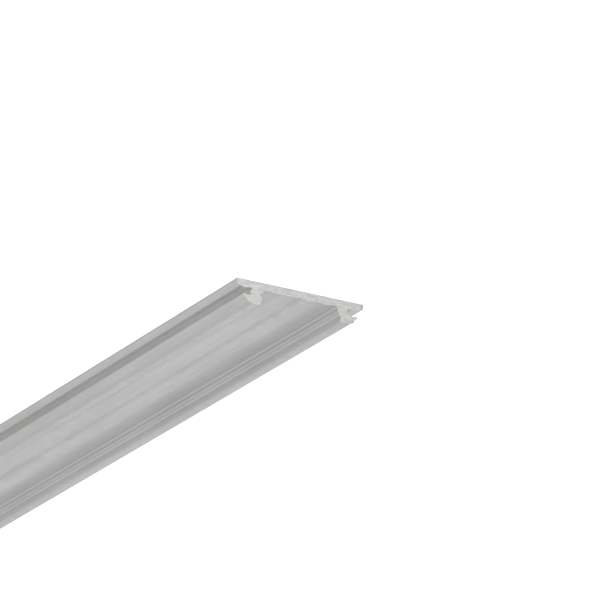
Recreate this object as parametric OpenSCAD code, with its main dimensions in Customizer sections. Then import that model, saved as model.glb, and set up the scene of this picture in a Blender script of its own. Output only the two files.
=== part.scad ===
// Flat aluminium base profile for an LED strip: an extruded bar with two snap ribs.
// Millimetres. The flat back lies on the XY plane, the bar runs along Y, the ribs stand up along +Z.

/* [Bar] */
// Length the bar is sawn to
bar_length = 500; // [50:10:1000]
// Width across the base strip
base_width = 30; // [26:0.5:60]
// Thickness of the base strip
base_thickness = 1.6; // [1.2:0.1:3]

/* [Base edges] */
// How far the bevel on each long edge reaches in over the base strip
bevel_run = 0.8; // [0.3:0.1:1.5]
// How far the bevel comes down the side of the base strip
bevel_drop = 0.5; // [0.2:0.1:0.9]
// Round where the bevel meets the side and the top of the strip
bevel_round = 0.4; // [0:0.05:0.6]
// Round on the two long edges of the flat back
back_round = 0.1; // [0:0.05:0.4]

/* [Drill line] */
// Width of the V groove that marks the middle of the strip
groove_width = 0.9; // [0.3:0.1:1.2]
// Depth of the V groove
groove_depth = 0.18; // [0.1:0.02:0.6]

/* [Rib leg] */
// Distance from the strip's long edge to the foot of the rib's leg
ledge_width = 3.65; // [3:0.05:5]
// Height of the undercut, from the base strip up to the hook
undercut_height = 1.55; // [1.2:0.05:3]
// How far the leg's outer face leans out on its way up to the hook
leg_lean = 0.25; // [0:0.05:0.5]
// Thickness of the leg below the head, without its steps
leg_thickness = 1.85; // [1.2:0.05:3]
// Round at the foot of the leg and under the hook
leg_round = 0.2; // [0:0.05:0.4]

/* [Rib head] */
// Height of the rib above the base strip
rib_height = 3.4; // [3:0.1:6]
// How far the head stands out over the undercut
head_overhang = 1.15; // [0.6:0.05:1.6]
// How far the head's outer shoulder slopes in over the rib's top, where a cover rides over it
shoulder_run = 1.15; // [0.4:0.05:1.4]
// How far the shoulder slopes down the head's side
shoulder_drop = 0.7; // [0.2:0.05:0.9]
// Round at both ends of the shoulder's slope
shoulder_round = 0.7; // [0.1:0.05:0.9]
// Round on the head's inner edge
toe_round = 0.4; // [0:0.05:0.9]
// How far the head's inner face leans in over the channel
toe_lean = 0.05; // [0:0.05:0.4]

/* [Barb] */
// How far the barb's tip reaches out past the leg
barb_reach = 2.1; // [1.7:0.05:2.4]
// Thickness of the barb's tip
barb_thickness = 0.45; // [0.3:0.05:0.6]
// How far the tip turns down below the hook, towards the base strip
barb_dip = 0.27; // [0:0.02:0.4]
// Slope of the lead-in face under which a cover's lip slides
barb_slope = 41; // [25:1:50]
// Round on the barb's tip
barb_round = 0.16; // [0:0.02:0.3]

/* [Inner steps] */
// Width of the lower step at the leg's inner side
low_step_width = 0.25; // [0.1:0.05:0.8]
// Height of the lower step above the base strip
low_step_height = 1.15; // [0.7:0.05:1.4]
// Width of the upper step
high_step_width = 0.4; // [0.1:0.05:0.9]
// Height of the upper step above the base strip
high_step_height = 1.75; // [1.5:0.05:2]
// Round on the outer edges of both steps
step_round = 0.25; // [0:0.05:0.4]
// Round in the corners at the foot of both steps
root_round = 0.06; // [0:0.01:0.1]
// Bevel in the corner between the lower step and the channel's floor
root_bevel = 0.26; // [0.1:0.02:0.5]

/* [Hidden] */

// Pieces in each rounded corner's arc
ARC_PIECES = 6;

// Levels above the flat back
floor_z = base_thickness;
hook_z = floor_z + undercut_height;

// Distances in from the strip's long edge, from the barb's tip to the channel's floor
leg_top_x = ledge_width - leg_lean;
barb_x = leg_top_x - barb_reach;
head_x = leg_top_x - head_overhang;
inner_x = ledge_width + leg_thickness;
toe_x = inner_x + toe_lean;
high_step_x = inner_x + high_step_width;
low_step_x = high_step_x + low_step_width;
floor_x = low_step_x + root_bevel;

// The barb's nose is cut square to its lead-in face, which then climbs to the head's side
nose_x = barb_x + barb_thickness;
nose_z = hook_z - barb_dip;
tip_z = nose_z + barb_thickness * tan(barb_slope);
lead_in_z = tip_z + (head_x - barb_x) * tan(barb_slope);
heel_x = nose_x + max(barb_dip, 0.1) / tan(barb_slope);

// The rib is at least as high as its lead-in face and shoulder need
top_z = max(floor_z + rib_height, lead_in_z + shoulder_drop + 0.1);

// Corners of the left half as [distance in from the long edge, height, round], edge to middle
function half_corners() = [
    [0, 0, back_round],
    [0, base_thickness - bevel_drop, bevel_round],
    [bevel_run, base_thickness, bevel_round],
    [ledge_width, floor_z, leg_round],
    [leg_top_x, hook_z, leg_round],
    [heel_x, hook_z, leg_round],
    [nose_x, nose_z, barb_round],
    [barb_x, tip_z, barb_round],
    [head_x, lead_in_z, root_round],
    [head_x, top_z - shoulder_drop, shoulder_round],
    [head_x + shoulder_run, top_z, shoulder_round],
    [toe_x, top_z, toe_round],
    [inner_x, floor_z + high_step_height, root_round],
    [high_step_x, floor_z + high_step_height, step_round],
    [high_step_x, floor_z + low_step_height, root_round],
    [low_step_x, floor_z + low_step_height, step_round],
    [low_step_x, floor_z + root_bevel, root_round],
    [floor_x, floor_z, root_round],
    [base_width / 2 - groove_width / 2, floor_z, 0]
];

// Both halves and the bottom of the V groove between them, as [x, z, round] about the middle
function all_corners() =
    let (
        half = half_corners(),
        last = len(half) - 1,
        middle = base_width / 2
    )
    concat(
        [for (c = half) [c.x - middle, c.y, c.z]],
        [[0, floor_z - groove_depth, 0]],
        [for (i = [last:-1:0]) [middle - half[i].x, half[i].y, half[i].z]]
    );

// Part of the edge from b to its neighbour that b's round may use, shared in step with their rounds
function room(b, neighbour) =
    norm([neighbour.x - b.x, neighbour.y - b.y]) * b.z / (b.z + neighbour.z);

// Arc that rounds corner b between its neighbours a and c, each as [x, z, round]
function rounded(a, b, c) =
    b.z == 0 ? [[b.x, b.y]] :
    let (
        corner = [b.x, b.y],
        to_a = [a.x - b.x, a.y - b.y] / norm([a.x - b.x, a.y - b.y]),
        to_c = [c.x - b.x, c.y - b.y] / norm([c.x - b.x, c.y - b.y]),
        half_angle = acos(to_a * to_c) / 2,
        run = min(b.z / tan(half_angle), room(b, a), room(b, c)),
        radius = run * tan(half_angle),
        centre = corner + (to_a + to_c) / norm(to_a + to_c) * radius / sin(half_angle),
        from = corner + to_a * run - centre,
        to = corner + to_c * run - centre,
        turn = atan2(from.x * to.y - from.y * to.x, from * to)
    )
    [
        for (i = [0:ARC_PIECES])
            let (t = turn * i / ARC_PIECES)
            centre + [from.x * cos(t) - from.y * sin(t), from.x * sin(t) + from.y * cos(t)]
    ];

// Closed outline of the section, with every corner rounded
function section_outline() =
    let (
        corners = all_corners(),
        count = len(corners)
    )
    [
        for (i = [0:count - 1])
            each rounded(corners[(i + count - 1) % count], corners[i], corners[(i + 1) % count])
    ];

module section() {
    polygon(section_outline());
}

module profile() {
    color([0.76, 0.76, 0.75])
        rotate([90, 0, 0])
            linear_extrude(height = bar_length, center = true)
                section();
}

profile();
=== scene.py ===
"""Flat aluminium base profile for an LED strip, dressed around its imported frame.

The bar lies on its flat back with its snap ribs up. The camera is rolled over by half a turn, so the
picture shows the bar as if it hung with its ribs down.
"""

import logging
from collections.abc import Callable, Iterable
from dataclasses import dataclass, field
from enum import Enum
from math import acos, atan2, cos, radians, sin, tan

import bmesh
import bpy
from mathutils import Matrix, Vector


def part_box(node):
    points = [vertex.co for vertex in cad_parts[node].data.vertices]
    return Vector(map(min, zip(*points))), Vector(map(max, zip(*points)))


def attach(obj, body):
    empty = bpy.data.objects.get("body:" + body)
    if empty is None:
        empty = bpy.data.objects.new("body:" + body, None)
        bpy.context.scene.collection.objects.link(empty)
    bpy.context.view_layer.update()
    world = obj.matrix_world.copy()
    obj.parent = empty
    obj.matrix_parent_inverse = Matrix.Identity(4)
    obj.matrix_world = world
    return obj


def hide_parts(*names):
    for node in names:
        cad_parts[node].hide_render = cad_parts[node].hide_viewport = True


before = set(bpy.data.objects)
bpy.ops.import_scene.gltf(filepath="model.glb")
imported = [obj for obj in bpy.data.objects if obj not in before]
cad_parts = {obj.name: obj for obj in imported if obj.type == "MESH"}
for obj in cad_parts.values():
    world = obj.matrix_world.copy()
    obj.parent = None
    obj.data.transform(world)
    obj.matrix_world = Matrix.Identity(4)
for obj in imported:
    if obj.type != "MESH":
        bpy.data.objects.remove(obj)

log = logging.getLogger("led_profile")

MM = 0.001
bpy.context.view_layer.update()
LOWEST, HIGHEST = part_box("profile")


class BarEnd(Enum):
    """The two sawn ends of the bar, with the way their faces point along Y."""

    NEAR = 1
    FAR = -1


@dataclass(frozen=True)
class Corner:
    """One corner of the half section.

    inset is the distance in from the strip's long edge, height the level above the flat back and
    radius the round on the corner, all in metres.
    """

    inset: float
    height: float
    radius: float


@dataclass(frozen=True)
class SnapSection:
    """Cross section of the bar, given by the sizes of its left half, in metres."""

    half_width: float = HIGHEST.x
    base_thickness: float = 1.6 * MM
    bevel_run: float = 0.8 * MM
    bevel_drop: float = 0.5 * MM
    bevel_round: float = 0.4 * MM
    back_round: float = 0.1 * MM
    groove_width: float = 0.9 * MM
    groove_depth: float = 0.18 * MM
    groove_round: float = 0.7 * MM
    ledge_width: float = 3.65 * MM
    undercut_height: float = 1.55 * MM
    leg_lean: float = 0.25 * MM
    leg_thickness: float = 1.85 * MM
    leg_round: float = 0.2 * MM
    rib_top: float = HIGHEST.z
    head_overhang: float = 1.15 * MM
    shoulder_run: float = 1.15 * MM
    shoulder_drop: float = 0.7 * MM
    shoulder_round: float = 0.7 * MM
    toe_round: float = 0.4 * MM
    toe_lean: float = 0.05 * MM
    barb_reach: float = 2.1 * MM
    barb_thickness: float = 0.45 * MM
    barb_dip: float = 0.27 * MM
    barb_slope: float = radians(41)
    barb_round: float = 0.16 * MM
    low_step_width: float = 0.25 * MM
    low_step_height: float = 1.15 * MM
    high_step_width: float = 0.4 * MM
    high_step_height: float = 1.75 * MM
    step_round: float = 0.25 * MM
    root_round: float = 0.06 * MM
    root_bevel: float = 0.26 * MM

    def corners(self) -> list[Corner]:
        """Lists the corners of the left half, from the flat back round to the V groove's bottom."""
        floor = self.base_thickness
        hook = floor + self.undercut_height
        leg_top = self.ledge_width - self.leg_lean
        barb = leg_top - self.barb_reach
        head = leg_top - self.head_overhang
        inner = self.ledge_width + self.leg_thickness
        high_step = inner + self.high_step_width
        low_step = high_step + self.low_step_width
        nose = barb + self.barb_thickness
        nose_level = hook - self.barb_dip
        climb = tan(self.barb_slope)
        tip_level = nose_level + self.barb_thickness * climb
        return [
            Corner(0, 0, self.back_round),
            Corner(0, floor - self.bevel_drop, self.bevel_round),
            Corner(self.bevel_run, floor, self.bevel_round),
            Corner(self.ledge_width, floor, self.leg_round),
            Corner(leg_top, hook, self.leg_round),
            Corner(nose + self.barb_dip / climb, hook, self.leg_round),
            Corner(nose, nose_level, self.barb_round),
            Corner(barb, tip_level, self.barb_round),
            Corner(head, tip_level + (head - barb) * climb, self.root_round),
            Corner(head, self.rib_top - self.shoulder_drop, self.shoulder_round),
            Corner(head + self.shoulder_run, self.rib_top, self.shoulder_round),
            Corner(inner + self.toe_lean, self.rib_top, self.toe_round),
            Corner(inner, floor + self.high_step_height, self.root_round),
            Corner(high_step, floor + self.high_step_height, self.step_round),
            Corner(high_step, floor + self.low_step_height, self.root_round),
            Corner(low_step, floor + self.low_step_height, self.step_round),
            Corner(low_step, floor + self.root_bevel, self.root_round),
            Corner(low_step + self.root_bevel, floor, self.root_round),
            Corner(self.half_width - self.groove_width / 2, floor, self.groove_round),
            Corner(self.half_width, floor - self.groove_depth, self.groove_round),
        ]

    def place(self, corner: Corner, y: float) -> Vector:
        """Gives a corner's place in the row frame on the left half, at the distance y along the bar."""
        return Vector((corner.inset - self.half_width, y, corner.height))

    def outline(self, y: float) -> list[Vector]:
        """Lists the left half's points from the middle of the back to the bottom of the V groove.

        Args:
            y: Distance along the bar at which the outline is drawn.

        Returns:
            The points in order, the first and last of them on the plane x = 0.
        """
        return [Vector((0, y, 0)), *(self.place(corner, y) for corner in self.corners())]

    def bevel_runs(self) -> list[tuple[Corner, float]]:
        """Works out how far back from each rounded corner its bevel starts.

        An edge between two corners is shared between them in step with their rounds.

        Returns:
            Each rounded corner with its run, in metres.
        """
        corners = self.corners()
        middle_back = Corner(self.half_width, 0, 0)
        mirrored = Corner(self.half_width + self.groove_width / 2, self.base_thickness, self.groove_round)
        runs = []
        for before, corner, after in zip([middle_back, *corners], corners, [*corners[1:], mirrored]):
            here = self.place(corner, 0)
            to_before = self.place(before, 0) - here
            to_after = self.place(after, 0) - here
            half_angle = to_before.angle(to_after) / 2
            rooms = [
                edge.length * corner.radius / (corner.radius + neighbour.radius)
                for edge, neighbour in ((to_before, before), (to_after, after))
            ]
            runs.append((corner, min(corner.radius / tan(half_angle), *rooms)))
        return runs


def begin_piece(name: str) -> bpy.types.Object:
    """Adds a plane with nothing else selected, and enters its edit mode.

    Args:
        name: Name of the new piece.

    Returns:
        The new object, in edit mode with its vertices selected.
    """
    bpy.ops.object.select_all(action="DESELECT")
    bpy.ops.mesh.primitive_plane_add(size=MM)
    piece = bpy.context.active_object
    piece.name = piece.data.name = name
    bpy.ops.object.mode_set(mode="EDIT")
    return piece


def select(piece: bpy.types.Object, kind: str, wanted: Callable[..., bool]) -> int:
    """Selects a piece's vertices, edges or faces by a test on each, and nothing else.

    Args:
        piece: The object that is in edit mode.
        kind: VERT, EDGE or FACE.
        wanted: Test that is true for an element to be selected.

    Returns:
        How many elements were selected.
    """
    bpy.ops.mesh.select_mode(type=kind)
    bpy.ops.mesh.select_all(action="DESELECT")
    shape = bmesh.from_edit_mesh(piece.data)
    elements = {"VERT": shape.verts, "EDGE": shape.edges, "FACE": shape.faces}[kind]
    found = [element for element in elements if wanted(element)]
    for element in found:
        element.select_set(True)
    bmesh.update_edit_mesh(piece.data)
    return len(found)


@dataclass(frozen=True)
class EdgeFlaw:
    """A burr or a nick on a sawn edge: the edge is pulled at one place of the section.

    x and z are the place, push is the pull in millimetres and reach how far round it follows.
    """

    x: float
    z: float
    push: tuple[float, float, float]
    reach: float


@dataclass
class ProfileBar:
    """The extruded bar: one mesh swept along Y, with both ends sawn."""

    section: SnapSection = field(default_factory=SnapSection)
    near_y: float = HIGHEST.y
    far_y: float = LOWEST.y
    round_pieces: int = 5
    near: float = 0.002 * MM
    back_edge_roll: float = 0.18 * MM
    end_loops: tuple[float, ...] = (0.12 * MM, 0.35 * MM, 0.9 * MM)
    loop_hold: tuple[float, ...] = (0.6, 0.25, 0.0)
    end_pitch: float = 0.2 * MM
    arc_depth: float = 0.03 * MM
    arc_pitch: float = 0.55 * MM
    blade_centre: tuple[float, float] = (0.03, -0.15)
    wander: float = 0.09 * MM
    wander_size: float = 0.75 * MM
    near_flaws: tuple[EdgeFlaw, ...] = (
        EdgeFlaw(-13.2, 1.6, (0, 0, 0.16), 0.9),
        EdgeFlaw(-14.75, 1.35, (-0.1, 0, 0.12), 0.4),
        EdgeFlaw(-11.45, 2.3, (-0.42, 0, 0), 0.6),
        EdgeFlaw(-11.55, 2.8, (-0.22, 0, 0.05), 0.5),
        EdgeFlaw(-9.47, 3.6, (0.42, 0, 0), 0.85),
        EdgeFlaw(-2.7, 1.6, (0, 0, 0.13), 1.1),
        EdgeFlaw(1.6, 1.6, (0, 0, 0.55), 1.4),
        EdgeFlaw(3.5, 1.6, (0, 0, 0.45), 1.4),
        EdgeFlaw(6.3, 1.6, (0, 0, 0.2), 1.5),
        EdgeFlaw(11.45, 2.3, (-0.45, 0, 0), 0.85),
        EdgeFlaw(12.45, 4.55, (0.12, 0, 0.12), 0.55),
        EdgeFlaw(11.1, 4.9, (0, -0.2, -0.15), 0.3),
        EdgeFlaw(14.8, 0.5, (-0.1, -0.15, 0), 0.3),
    )
    far_flaws: tuple[EdgeFlaw, ...] = (
        EdgeFlaw(13.0, 1.6, (0, 0, 0.12), 0.8),
        EdgeFlaw(4.0, 1.6, (0, 0, 0.1), 0.6),
        EdgeFlaw(-12.3, 4.6, (-0.1, 0, 0.1), 0.5),
        EdgeFlaw(-6.0, 0.0, (0, 0.15, 0.12), 0.4),
    )

    def build(self) -> bpy.types.Object:
        """Models the bar and returns it, named and unturned, with its place in its mesh."""
        bar = self.draw_section()
        self.sweep(bar)
        self.round_long_edges(bar)
        self.roll_back_edges(bar)
        self.cut_end_grids(bar)
        self.press_saw_marks(bar)
        self.pull_flaws(bar, BarEnd.NEAR, self.near_flaws)
        self.pull_flaws(bar, BarEnd.FAR, self.far_flaws)
        self.keep_in_box(bar)
        self.shade(bar)
        return bar

    def draw_section(self) -> bpy.types.Object:
        """Draws the left half's outline point by point, mirrors it and fills it.

        Returns:
            The piece, in edit mode, as one flat face at the near end.
        """
        bar = begin_piece("bar")
        bpy.ops.mesh.merge(type="CENTER")
        points = self.section.outline(self.near_y)
        bpy.ops.transform.translate(value=points[0])
        for here, there in zip(points, points[1:]):
            bpy.ops.mesh.extrude_region_move(TRANSFORM_OT_translate={"value": there - here})
        bpy.ops.object.mode_set(mode="OBJECT")
        mirror = bar.modifiers.new("other_half", "MIRROR")
        mirror.merge_threshold = self.near
        bpy.ops.object.modifier_apply(modifier=mirror.name)
        bpy.ops.object.mode_set(mode="EDIT")
        bpy.ops.mesh.select_all(action="SELECT")
        bpy.ops.mesh.remove_doubles(threshold=self.near)
        bpy.ops.mesh.edge_face_add()
        return bar

    def sweep(self, bar: bpy.types.Object) -> None:
        """Extrudes the section from the near end to the far end."""
        bpy.ops.mesh.select_all(action="SELECT")
        length = self.near_y - self.far_y
        bpy.ops.mesh.extrude_region_move(TRANSFORM_OT_translate={"value": (0, -length, 0)})
        bpy.ops.mesh.select_all(action="SELECT")
        bpy.ops.mesh.normals_make_consistent(inside=False)

    def round_long_edges(self, bar: bpy.types.Object) -> None:
        """Rounds every long edge of the section with its own radius."""
        for corner, run in self.section.bevel_runs():
            here = self.section.place(corner, 0)

            def on_corner(edge: bmesh.types.BMEdge) -> bool:
                """Tells whether an edge lies on this corner's line, on the left or on the right."""
                return all(
                    abs(abs(v.co.x) - abs(here.x)) < self.near and abs(v.co.z - here.z) < self.near
                    for v in edge.verts
                )

            select(bar, "EDGE", on_corner)
            bpy.ops.mesh.bevel(
                offset_type="OFFSET",
                offset=run,
                segments=self.round_pieces,
                affect="EDGES",
                clamp_overlap=False,
            )

    def at_end(self, place: Vector) -> bool:
        """Tells whether a place lies in one of the two end planes."""
        return min(abs(place.y - self.near_y), abs(place.y - self.far_y)) < self.near

    def roll_back_edges(self, bar: bpy.types.Object) -> None:
        """Rolls the end edges of the flat back over a little, as the saw drags them."""

        def back_end_edge(edge: bmesh.types.BMEdge) -> bool:
            """Tells whether an edge lies across the bar, at an end and on the flat back."""
            return all(v.co.z < self.near and self.at_end(v.co) for v in edge.verts)

        select(bar, "EDGE", back_end_edge)
        bpy.ops.mesh.bevel(
            offset_type="OFFSET", offset=self.back_edge_roll, segments=3, affect="EDGES"
        )

    def cut_end_grids(self, bar: bpy.types.Object) -> None:
        """Cuts loops round the bar near both ends, and the ends themselves into a fine grid."""
        for depth in self.end_loops:
            for y in (self.near_y - depth, self.far_y + depth):
                bpy.ops.mesh.select_all(action="SELECT")
                bpy.ops.mesh.bisect(plane_co=(0, y, 0), plane_no=(0, 1, 0))
        zone = self.end_loops[-1] + self.near

        def in_zone(face: bmesh.types.BMFace) -> bool:
            """Tells whether a face lies wholly in the last stretch before an end."""
            return all(v.co.y > self.near_y - zone for v in face.verts) or all(
                v.co.y < self.far_y + zone for v in face.verts
            )

        def cut(place: Vector, way: Vector) -> None:
            """Cuts the faces of both end stretches by a plane."""
            select(bar, "FACE", in_zone)
            bpy.ops.mesh.bisect(plane_co=place, plane_no=way)

        half = int(self.section.half_width / self.end_pitch)
        for column in range(-half, half + 1):
            cut(Vector(((column + 0.37) * self.end_pitch, 0, 0)), Vector((1, 0, 0)))
        for row in range(int(self.section.rib_top / self.end_pitch) + 1):
            cut(Vector((0, 0, (row + 0.53) * self.end_pitch)), Vector((0, 0, 1)))
        bpy.ops.mesh.select_all(action="SELECT")
        bpy.ops.mesh.remove_doubles(threshold=self.near)

    def hold_ends(self, bar: bpy.types.Object, end: BarEnd) -> str:
        """Makes a vertex group that holds one end fully and the loops behind it less.

        Returns:
            The group's name.
        """
        y = self.near_y if end is BarEnd.NEAR else self.far_y
        name = f"sawn_{end.name.lower()}"
        group = bar.vertex_groups.new(name=name)
        bar.vertex_groups.active_index = group.index
        steps = [(0.0, 1.0), *zip(self.end_loops, self.loop_hold)]
        for depth, hold in steps:
            select(bar, "VERT", lambda v: abs(abs(v.co.y - y) - depth) < self.near)
            bpy.context.scene.tool_settings.vertex_group_weight = hold
            bpy.ops.object.vertex_group_assign()
        return name

    def press_saw_marks(self, bar: bpy.types.Object) -> None:
        """Presses the saw's arcs into both ends and lets their edges wander."""
        arcs = bpy.data.textures.new("saw_arcs", "WOOD")
        arcs.wood_type = "RINGNOISE"
        arcs.noise_basis_2 = "SIN"
        arcs.noise_scale = 0.02
        arcs.turbulence = 2.0
        torn = bpy.data.textures.new("torn_grain", "CLOUDS")
        torn.cloud_type = "COLOR"
        torn.noise_depth = 1
        torn.noise_scale = self.wander_size
        bpy.ops.object.select_all(action="DESELECT") if bpy.context.mode == "OBJECT" else None
        groups = {end: self.hold_ends(bar, end) for end in BarEnd}
        bpy.ops.object.mode_set(mode="OBJECT")
        blade = bpy.data.objects.new("blade", None)
        bpy.context.scene.collection.objects.link(blade)
        ring_length = 2 * 3.14159265 / 20
        blade.scale = [self.arc_pitch / ring_length] * 3
        blade.location = (self.blade_centre[0], 0, self.blade_centre[1])
        bpy.context.view_layer.update()
        for end, group in groups.items():
            pressed = bar.modifiers.new("arcs", "DISPLACE")
            pressed.texture = arcs
            pressed.texture_coords = "OBJECT"
            pressed.texture_coords_object = blade
            pressed.direction = "Y"
            pressed.mid_level = 1.0
            pressed.strength = self.arc_depth * end.value
            pressed.vertex_group = group
            bpy.ops.object.modifier_apply(modifier=pressed.name)
            wandered = bar.modifiers.new("wander", "DISPLACE")
            wandered.texture = torn
            wandered.texture_coords = "LOCAL"
            wandered.direction = "RGB_TO_XYZ"
            wandered.mid_level = 0.5
            wandered.strength = self.wander
            wandered.vertex_group = group
            bpy.ops.object.modifier_apply(modifier=wandered.name)
        bar.vertex_groups.clear()
        bpy.data.objects.remove(blade)
        bpy.ops.object.mode_set(mode="EDIT")

    def pull_flaws(self, bar: bpy.types.Object, end: BarEnd, flaws: tuple[EdgeFlaw, ...]) -> None:
        """Pulls burrs out of one end's edges and presses nicks into them."""
        y = self.near_y if end is BarEnd.NEAR else self.far_y
        shape = bmesh.from_edit_mesh(bar.data)
        for flaw in flaws:
            place = Vector((flaw.x * MM, y, flaw.z * MM))
            nearest = min(shape.verts, key=lambda v: (v.co - place).length_squared)
            spot = nearest.co.copy()
            select(bar, "VERT", lambda v: (v.co - spot).length < self.near)
            bpy.ops.transform.translate(
                value=[step * MM for step in flaw.push],
                use_proportional_edit=True,
                proportional_edit_falloff="SMOOTH",
                proportional_size=flaw.reach * MM,
            )
            shape = bmesh.from_edit_mesh(bar.data)

    def keep_in_box(self, bar: bpy.types.Object) -> None:
        """Presses whatever stands proud of the CAD model's box back to its sides."""
        for axis in range(3):
            keep = [1.0, 1.0, 1.0]
            keep[axis] = 0.0
            for limit, outside in ((LOWEST, -1), (HIGHEST, 1)):
                beyond = select(
                    bar, "VERT", lambda v: (v.co[axis] - limit[axis]) * outside > 0.0
                )
                if beyond:
                    bpy.ops.transform.resize(value=keep, center_override=limit)

    def shade(self, bar: bpy.types.Object) -> None:
        """Smooths the rounds, keeps flats flat and leaves edit mode."""
        bpy.ops.object.mode_set(mode="OBJECT")
        bpy.ops.object.shade_smooth_by_angle(angle=radians(35))
        weighted = bar.modifiers.new("flat_flats", "WEIGHTED_NORMAL")
        weighted.keep_sharp = True
        bpy.ops.object.modifier_apply(modifier=weighted.name)


class Socket:
    """One value in a node tree. Arithmetic on it adds Math nodes."""

    def __init__(self, tree: "ShaderTree", socket: bpy.types.NodeSocket) -> None:
        """Wraps a node's output.

        Args:
            tree: Tree that the socket is in.
            socket: The output to read.
        """
        self.tree = tree
        self.socket = socket

    def math(self, operation: str, *values: "Socket | float") -> "Socket":
        """Adds a Math node that works on this value and the given ones."""
        return self.tree.node("ShaderNodeMath", {"operation": operation}, [self, *values])

    def __add__(self, other: "Socket | float") -> "Socket":
        """Adds."""
        return self.math("ADD", other)

    def __sub__(self, other: "Socket | float") -> "Socket":
        """Takes away."""
        return self.math("SUBTRACT", other)

    def __mul__(self, other: "Socket | float") -> "Socket":
        """Multiplies."""
        return self.math("MULTIPLY", other)

    def __rsub__(self, other: float) -> "Socket":
        """Takes this value away from a number."""
        return self.tree.node("ShaderNodeMath", {"operation": "SUBTRACT"}, [other, self])

    __radd__ = __add__
    __rmul__ = __mul__


class ShaderTree:
    """A node tree, with one method that adds any node and a few that name what is often added."""

    def __init__(self, tree: bpy.types.NodeTree) -> None:
        """Takes over a tree and empties it.

        Args:
            tree: The material's or the world's node tree.
        """
        self.nodes = tree.nodes
        self.links = tree.links
        self.nodes.clear()

    def node(
        self, kind: str, settings: dict | None = None, values: dict | list | None = None,
        output: int | str = 0
    ) -> Socket | None:
        """Adds a node.

        Args:
            kind: The node's type.
            settings: Its settings, which are set first.
            values: Values or sockets for its inputs, by name or in order.
            output: Which of its outputs to return.

        Returns:
            The chosen output, or None for a node that has no outputs.
        """
        node = self.nodes.new(kind)
        for key, value in (settings or {}).items():
            setattr(node, key, value)
        pairs = values.items() if isinstance(values, dict) else enumerate(values or [])
        for key, value in pairs:
            if isinstance(value, Socket):
                self.links.new(value.socket, node.inputs[key])
            else:
                node.inputs[key].default_value = value
        return Socket(self, node.outputs[output]) if len(node.outputs) else None

    def noise(
        self, place: Socket, size: tuple[float, float, float], detail: float = 2.0,
        turn: tuple[float, float, float] = (0, 0, 0)
    ) -> Socket:
        """Adds noise whose patches are stretched and turned.

        Args:
            place: Coordinates in metres.
            size: Size of its patches along each of their own axes, in millimetres.
            detail: Octaves of finer noise.
            turn: Turn of the patches about each axis, in degrees.

        Returns:
            The noise, about 0.5.
        """
        spread = self.node(
            "ShaderNodeMapping",
            {"vector_type": "TEXTURE"},
            {
                "Vector": place,
                "Rotation": [radians(angle) for angle in turn],
                "Scale": [length * MM for length in size],
            },
        )
        return self.node(
            "ShaderNodeTexNoise",
            {"noise_dimensions": "3D"},
            {"Vector": spread, "Scale": 1.0, "Detail": detail, "Roughness": 0.55},
        )

    def part(self, vector: Socket, axis: str) -> Socket:
        """Takes one axis out of a vector."""
        return self.node("ShaderNodeSeparateXYZ", None, {"Vector": vector}, output=axis)

    def fade(
        self, value: Socket, start: float, end: float, low: float = 0.0, high: float = 1.0
    ) -> Socket:
        """Fades smoothly from low to high while a value goes from start to end."""
        return self.node(
            "ShaderNodeMapRange",
            {"interpolation_type": "SMOOTHSTEP"},
            {"Value": value, "From Min": start, "From Max": end, "To Min": low, "To Max": high},
        )

    def within(self, value: Socket, reach: tuple[float, float], soft: float) -> Socket:
        """Marks values within a reach with 1, fading over twice soft at both ends, in millimetres."""
        low, high = (limit * MM for limit in reach)
        soft = soft * MM
        return self.fade(value, low - soft, low + soft) * self.fade(value, high + soft, high - soft)

    def mix(self, amount: Socket, first: tuple | Socket, second: tuple | Socket) -> Socket:
        """Mixes two colours."""
        return self.node(
            "ShaderNodeMix", {"data_type": "RGBA"}, {0: amount, 6: first, 7: second}, output=2
        )

    def bump(self, height: Socket, under: Socket | None = None) -> Socket:
        """Adds a bump from a height in metres, on top of another one where that is given."""
        values = {"Strength": 1.0, "Distance": 1.0, "Height": height}
        if under:
            values["Normal"] = under
        return self.node("ShaderNodeBump", None, values)


def grey(level: float, warmth: float = 0.0) -> tuple[float, float, float, float]:
    """Gives a grey as a colour, with a touch less blue for a warm one."""
    return (level, level * (1 - warmth / 3), level * (1 - warmth), 1.0)


def sum_of(values: Iterable[Socket]) -> Socket:
    """Adds up values."""
    first, *rest = values
    return sum(rest, first)


def metal(
    name: str, dress: Callable[[ShaderTree, Socket], tuple[Socket, Socket, Socket]]
) -> bpy.types.Material:
    """Makes a bare metal material.

    Args:
        name: Name of the material.
        dress: Takes the tree and the place on the piece, and gives colour, roughness and normal.

    Returns:
        The material.
    """
    material = bpy.data.materials.new(name)
    material.use_nodes = True
    tree = ShaderTree(material.node_tree)
    place = tree.node("ShaderNodeTexCoord", output="Object")
    colour, rough, normal = dress(tree, place)
    shader = tree.node(
        "ShaderNodeBsdfPrincipled",
        None,
        {"Base Color": colour, "Metallic": 1.0, "Roughness": rough, "Normal": normal},
    )
    tree.node("ShaderNodeOutputMaterial", None, {"Surface": shader})
    return material


class Half(Enum):
    """The halves of the bar on which a painted strip lies."""

    BOTH = "both"
    LEFT = "left"
    RIGHT = "right"


@dataclass(frozen=True)
class PaintedStrip:
    """A strip of the section's surface, along the whole bar, coloured darker or lighter than the rest as
    painted shade or painted light.

    across is its reach from the bar's middle and height its reach above the flat back, with how
    softly each fades, all in millimetres. amount is how strongly it shows.
    """

    across: tuple[float, float]
    height: tuple[float, float]
    soft: tuple[float, float]
    amount: float
    half: Half = Half.BOTH

    def mask(self, tree: ShaderTree, place: Socket) -> Socket:
        """Marks the strip on its half or halves of the bar."""
        across = tree.part(place, "X")
        if self.half is Half.BOTH:
            across = across.math("ABSOLUTE")
        elif self.half is Half.LEFT:
            across = 0 - across
        return (
            tree.within(across, self.across, self.soft[0])
            * tree.within(tree.part(place, "Z"), self.height, self.soft[1])
            * self.amount
        )


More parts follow.
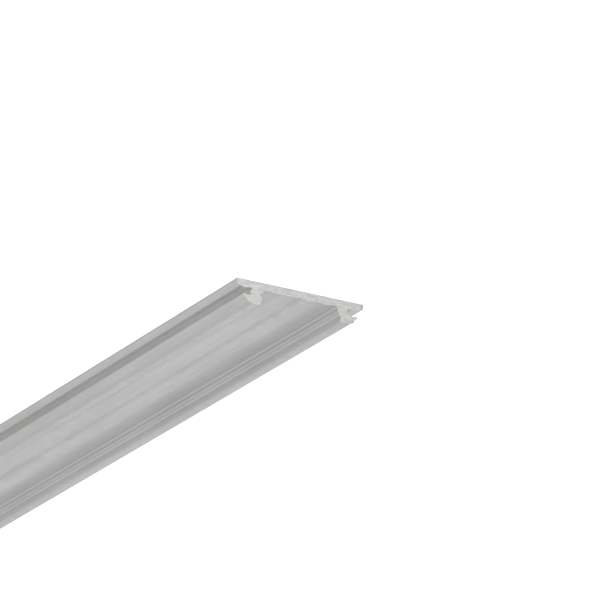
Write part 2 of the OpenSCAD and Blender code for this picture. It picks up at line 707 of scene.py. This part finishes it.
@dataclass(frozen=True)
class EndShadow:
    """A painted shadow on the channel's floor just behind the near end, in millimetres."""

    reach: tuple[float, float]
    depth: float
    amount: float

    def mask(self, tree: ShaderTree, place: Socket) -> Socket:
        """Marks the painted shadow."""
        end = HIGHEST.y / MM
        return (
            tree.within(tree.part(place, "X"), self.reach, 0.5)
            * tree.within(tree.part(place, "Y"), (end - self.depth, end + 2), self.depth / 3)
            * tree.within(tree.part(place, "Z"), (1.0, 2.0), 0.3)
            * self.amount
        )


@dataclass(frozen=True)
class MillFinish:
    """Bare aluminium as it leaves the die: soft bands along the bar, blotches and dabs.

    Under the hooks the colour is painted lighter and a touch warmer, standing in for light bounced into
    the undercut, and the metal is rougher there. Painted shade darkens the channel's corners, the
    barbs and the outer edges, and painted light brightens the channel floor and the ribs' inner faces.
    """

    name: str = "mill_finish_aluminium"
    bright: float = 0.885
    dull: float = 0.79
    painted_shade: float = 0.7
    painted_light_tone: float = 0.97
    roughness: float = 0.24
    # painted light: lighter, warmer colour under the hooks, standing in for light bounced into the
    # undercut
    undercut_painted_light: float = 1.0
    undercut_painted_light_roughness: float = 0.4
    undercut_painted_light_strips: tuple[PaintedStrip, ...] = (
        PaintedStrip((11.2, 14.1), (1.5, 3.2), (0.12, 0.05), 1.0, Half.LEFT),
        PaintedStrip((11.2, 14.1), (1.5, 3.2), (0.12, 0.05), 0.3, Half.RIGHT),
    )
    # painted shade: darker strips in the channel's corners, on the barbs and along the outer edges, where
    # shade and dark reflections fall
    painted_shade_strips: tuple[PaintedStrip, ...] = (
        PaintedStrip((-1.0, 0.25), (1.3, 1.8), (0.15, 0.1), 0.1),
        PaintedStrip((5.1, 9.3), (-1.0, 2.6), (1.0, 0.3), 0.22),
        PaintedStrip((8.0, 9.3), (-1.0, 2.6), (0.7, 0.3), 0.18),
        PaintedStrip((8.45, 8.8), (1.5, 1.75), (0.05, 0.06), 0.3),
        PaintedStrip((9.0, 9.2), (2.65, 3.0), (0.05, 0.1), 0.2),
        PaintedStrip((9.15, 9.7), (3.3, 4.1), (0.08, 0.25), 0.25),
        PaintedStrip((9.3, 10.3), (4.75, 5.2), (0.1, 0.1), 0.12),
        PaintedStrip((0.6, 1.5), (1.3, 1.8), (0.4, 0.1), 0.22, Half.LEFT),
        PaintedStrip((11.6, 13.0), (4.5, 5.2), (0.2, 0.25), 0.42),
        PaintedStrip((12.4, 14.0), (3.5, 4.3), (0.1, 0.1), 0.22),
        PaintedStrip((11.8, 12.5), (1.4, 1.8), (0.25, 0.1), 0.42),
        PaintedStrip((14.15, 16.0), (1.1, 2.0), (0.1, 0.1), 0.24),
        PaintedStrip((13.9, 14.5), (1.45, 1.8), (0.15, 0.1), 0.4),
        PaintedStrip((14.65, 16.0), (-1.0, 0.3), (0.15, 0.17), 0.62),
    )
    # painted light: lighter strips on the channel floor and the ribs' inner faces
    painted_light_strips: tuple[PaintedStrip, ...] = (
        PaintedStrip((1.1, 4.4), (1.3, 1.8), (0.5, 0.1), 0.18),
        PaintedStrip((8.7, 8.95), (2.0, 2.6), (0.05, 0.1), 0.14),
        PaintedStrip((9.3, 9.6), (4.2, 4.5), (0.05, 0.1), 0.45),
    )
    # painted shadows on the channel's floor just behind the near end
    end_shadows: tuple[EndShadow, ...] = (
        EndShadow((-3.2, 0.7), 3.0, 0.26),
        EndShadow((-9.2, -7.4), 1.6, 0.3),
        EndShadow((4.2, 6.6), 20.0, 0.2),
        EndShadow((1.8, 4.2), 10.0, 0.16),
        EndShadow((-13.0, -9.0), 1.5, 0.25),
    )

    def material(self) -> bpy.types.Material:
        """Makes the material."""
        return metal(self.name, self.dress)

    def painted_shade_mask(self, tree: ShaderTree, place: Socket) -> Socket:
        """Marks the painted shade: darker strips along the bar and painted shadows at the near end."""
        return sum_of(mark.mask(tree, place) for mark in (*self.end_shadows, *self.painted_shade_strips))

    def dress(self, tree: ShaderTree, place: Socket) -> tuple[Socket, Socket, Socket]:
        """Works out the colour, roughness and normal of the drawn surface."""
        die_lines = tree.noise(place, (0.45, 250, 0.45), 1)
        bands = tree.noise(place, (1.7, 330, 1.7), 2, (0, 25, 0))
        blotches = tree.noise(place, (7, 26, 7), 3)
        dabs = tree.noise(place, (2.4, 3.6, 2.4), 4)
        rubs = tree.noise(place, (6, 24, 6), 1)
        scuffs = tree.noise(place, (0.5, 2.4, 0.5), 2, (0, 0, -12))
        grain = tree.noise(place, (0.11, 0.11, 0.11), 1)
        on_ribs = tree.fade(tree.part(place, "Z"), 4.7 * MM, 4.95 * MM)
        dabbed = tree.fade(rubs, 0.46, 0.6) * (dabs - 0.5)
        dullness = 0.1 * die_lines + 0.35 * bands + 0.55 * blotches - 0.45 * dabbed
        flecks = (0.1 + 0.45 * on_ribs) * (scuffs - 0.5)
        tone = tree.fade(dullness + flecks, 0.36, 0.64)
        # painted light under the hooks, standing in for light bounced into the undercut
        undercut_painted_light = sum_of(strip.mask(tree, place) for strip in self.undercut_painted_light_strips)
        colour = tree.mix(tone, grey(self.bright), grey(self.dull))
        colour = tree.mix(undercut_painted_light, colour, grey(self.undercut_painted_light, 0.018))
        # painted shade along the bar and painted shadows at the near end
        colour = tree.mix(self.painted_shade_mask(tree, place), colour, grey(self.painted_shade))
        # painted light on the channel floor and the ribs' inner faces
        painted_light = sum_of(strip.mask(tree, place) for strip in self.painted_light_strips)
        colour = tree.mix(painted_light, colour, grey(self.painted_light_tone))
        rougher = (self.undercut_painted_light_roughness - self.roughness) * undercut_painted_light
        rough = self.roughness + rougher + 0.06 * (tone - 0.5) + 0.02 * (grain - 0.5)
        lines = tree.bump(die_lines * 0.5e-6 + bands * 1.0e-6)
        return colour, rough, tree.bump(grain * 0.3e-6, lines)


@dataclass(frozen=True)
class SawnShade:
    """A darker place painted on the near sawn face as shade under its burrs and along its edges, in
    millimetres across and above the flat back.
    """

    across: tuple[float, float]
    height: tuple[float, float]
    amount: float

    def mask(self, tree: ShaderTree, place: Socket) -> Socket:
        """Marks the painted shade."""
        return (
            tree.within(tree.part(place, "X"), self.across, 0.25)
            * tree.within(tree.part(place, "Z"), self.height, 0.15)
            * self.amount
        )


@dataclass(frozen=True)
class SawnFace:
    """The cut ends: rougher, warmer metal with fine specks, soft patches and broken saw lines."""

    name: str = "sawn_aluminium"
    bright: float = 0.985
    dull: float = 0.80
    torn: float = 0.55
    pink: tuple[float, float, float, float] = (0.96, 0.93, 0.94, 1.0)
    warmth: float = 0.03
    roughness: float = 0.5
    dark_strip_height: tuple[float, float] = (0.03, 0.17)
    # painted shade: darker places on the near sawn face under its burrs and along its edges
    sawn_shades: tuple[SawnShade, ...] = (
        SawnShade((-9.5, -8.4), (2.6, 4.3), 0.5),
        SawnShade((10.2, 12.7), (4.15, 4.8), 0.4),
        SawnShade((0.7, 4.6), (1.55, 2.6), 0.38),
        SawnShade((-11.9, -10.6), (1.9, 3.0), 0.12),
        SawnShade((14.5, 16.0), (-1.0, 2.0), 0.35),
    )

    def material(self) -> bpy.types.Material:
        """Makes the material."""
        return metal(self.name, self.dress)

    def dark_edge_strip(self, tree: ShaderTree, place: Socket) -> Socket:
        """Marks a broken dark strip just inside the back's edge."""
        broken = tree.fade(tree.noise(place, (3.5, 1000, 3.5), 2), 0.35, 0.6)
        return broken * tree.within(tree.part(place, "Z"), self.dark_strip_height, 0.07)

    def dress(self, tree: ShaderTree, place: Socket) -> tuple[Socket, Socket, Socket]:
        """Works out the colour, roughness and normal of the torn surface."""
        stains = tree.noise(place, (4.5, 1000, 2.2), 2, (0, -8, 0))
        patches = tree.noise(place, (1.1, 1000, 0.9), 2)
        marks = tree.noise(place, (2.6, 1000, 0.42), 2, (0, 8, 0))
        specks = tree.noise(place, (0.4, 1000, 0.36), 2, (0, 10, 0))
        tears = tree.fade(specks, 0.62, 0.78)
        worn = tree.fade(0.3 * patches + 0.35 * marks + 0.35 * specks, 0.4, 0.6)
        # painted shade: the sawn face is coloured duller towards +x, where less light falls on it
        right = tree.fade(tree.part(place, "X"), -7 * MM, -2 * MM, 0.0, 0.34)
        clean = tree.mix(tree.fade(stains, 0.45, 0.62), grey(self.bright, self.warmth), self.pink)
        ground = tree.mix(worn * 0.85 + right, clean, grey(self.dull, self.warmth))
        colour = tree.mix(0.5 * tears, ground, grey(self.torn, self.warmth))
        # painted shade on the near sawn face, mottled with its wear
        for sawn_shade in self.sawn_shades:
            sawn_shaded = sawn_shade.mask(tree, place) * (0.4 + 1.2 * worn)
            colour = tree.mix(sawn_shaded, colour, grey(self.torn, 4 * self.warmth))
        # a broken darker strip just inside the back's edge
        colour = tree.mix(0.6 * self.dark_edge_strip(tree, place), colour, grey(self.torn))
        rough = self.roughness + 0.12 * (marks - 0.5)
        return colour, rough, tree.bump(patches * 20e-6 + marks * 12e-6 + specks * 5e-6)


@dataclass(frozen=True)
class PhotoCamera:
    """The camera, recovered from the vanishing points of the bar's long and short edges.

    Pixels are in the 600 by 600 frame, with y down. The corner is where the flat back, the left long
    edge and the near end meet.
    """

    frame_size: float = 600.0
    focal_pixels: float = 5258.6
    sensor: float = 36.0
    turn: float = radians(30.968)
    tilt: float = radians(21.127)
    corner_px: tuple[float, float] = (237.33, 277.34)
    corner_depth: float = 1.06663

    def add(self) -> bpy.types.Object:
        """Adds the camera at the photograph's viewing angle and makes it the scene's own."""
        data = bpy.data.cameras.new("photo_camera")
        data.sensor_width = self.sensor
        data.lens = self.focal_pixels / self.frame_size * self.sensor
        data.clip_start = 0.05
        data.clip_end = 200
        right = Vector((cos(self.turn), sin(self.turn), 0))
        back = Vector((-sin(self.turn) * cos(self.tilt), cos(self.turn) * cos(self.tilt), sin(self.tilt)))
        up = back.cross(right)
        corner = Vector((LOWEST.x, HIGHEST.y, LOWEST.z))
        middle = self.frame_size / 2
        across = (self.corner_px[0] - middle) / self.focal_pixels * self.corner_depth
        above = (middle - self.corner_px[1]) / self.focal_pixels * self.corner_depth
        place = corner - across * right - above * up + self.corner_depth * back
        camera = bpy.data.objects.new("photo_camera", data)
        camera.matrix_world = Matrix((
            (right.x, up.x, back.x, place.x),
            (right.y, up.y, back.y, place.y),
            (right.z, up.z, back.z, place.z),
            (0, 0, 0, 1),
        ))
        bpy.context.scene.collection.objects.link(camera)
        bpy.context.scene.camera = camera
        return camera


@dataclass(frozen=True)
class Studio:
    """A pale floor inside a tent of soft light.

    The metal mirrors the tent and not the floor, so the floor can be as white as the photograph's
    background while the metal keeps its grey.
    """

    floor_size: float = 60.0
    floor_tone: float = 0.9
    floor_glow: float = 0.75
    tent_light: float = 0.585
    horizon_light: float = 1.0
    horizon_band: float = 0.03
    under_light: float = 0.4
    fill_light: float = 0.17
    fill_side: tuple[float, float, float] = (0.48, 0.80, -0.36)
    gap_depth: float = 0.06
    gap_side: tuple[float, float, float] = (0.2, -0.78, 0.59)
    shade_depth: float = 0.05
    shade_side: tuple[float, float, float] = (-0.60, -0.75, 0.28)

    def build(self) -> None:
        """Adds the floor and the tent."""
        self.lay_floor()
        self.hang_tent()
        bpy.context.scene.view_settings.view_transform = "Standard"

    def lay_floor(self) -> None:
        """Adds the floor just under the bar."""
        bpy.ops.object.select_all(action="DESELECT")
        bpy.ops.mesh.primitive_plane_add(size=self.floor_size, location=(0, 0, -0.02 * MM))
        floor = bpy.context.active_object
        floor.name = "floor"
        material = bpy.data.materials.new("pale_floor")
        material.use_nodes = True
        tree = ShaderTree(material.node_tree)
        shader = tree.node(
            "ShaderNodeBsdfPrincipled",
            None,
            {
                "Base Color": grey(self.floor_tone),
                "Roughness": 1.0,
                "Specular IOR Level": 0.0,
                "Emission Color": grey(1.0),
                "Emission Strength": self.floor_glow,
            },
        )
        tree.node("ShaderNodeOutputMaterial", None, {"Surface": shader})
        floor.data.materials.append(material)
        floor.visible_glossy = False

    def hang_tent(self) -> None:
        """Makes the world a tent: white at the horizon, grey above and dimmer below."""
        world = bpy.data.worlds.new("tent")
        world.use_nodes = True
        tree = ShaderTree(world.node_tree)
        way = tree.node("ShaderNodeTexCoord", output="Generated")
        height = tree.part(way, "Z")

        def towards(side: tuple[float, float, float]) -> Socket:
            """Gives how far a direction points to one side of the tent."""
            dot = {"operation": "DOT_PRODUCT"}
            return tree.node("ShaderNodeVectorMath", dot, {0: way, 1: side}, output="Value")

        band = tree.fade(height.math("ABSOLUTE"), self.horizon_band / 2, self.horizon_band, 1.0, 0.0)
        below = tree.fade(height, -0.9, -0.3, self.under_light - self.tent_light, 0.0)
        fill = tree.fade(towards(self.fill_side), 0.0, 1.0, 0.0, self.fill_light)
        gap = tree.fade(towards(self.gap_side), 0.95, 1.0, 0.0, -self.gap_depth)
        shade = tree.fade(towards(self.shade_side), 0.92, 1.0, 0.0, -self.shade_depth)
        tent = self.tent_light + below + fill + gap + shade
        strength = tent + band * (self.horizon_light - tent)
        background = tree.node(
            "ShaderNodeBackground", None, {"Color": (1, 1, 1, 1), "Strength": strength}
        )
        tree.node("ShaderNodeOutputWorld", None, {"Surface": background})
        bpy.context.scene.world = world


def main() -> None:
    """Builds the camera, the bar and the studio."""
    logging.basicConfig(level=logging.INFO, format="%(name)s: %(message)s")
    PhotoCamera().add()
    bar = ProfileBar().build()
    bar.data.materials.clear()
    bar.data.materials.append(MillFinish().material())
    bar.data.materials.append(SawnFace().material())
    for face in bar.data.polygons:
        if abs(face.normal.y) > 0.7:
            face.material_index = 1
    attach(bar, "root")
    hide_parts("profile")
    log.info("bar: %d faces", len(bar.data.polygons))
    Studio().build()


if __name__ == "__main__":
    main()
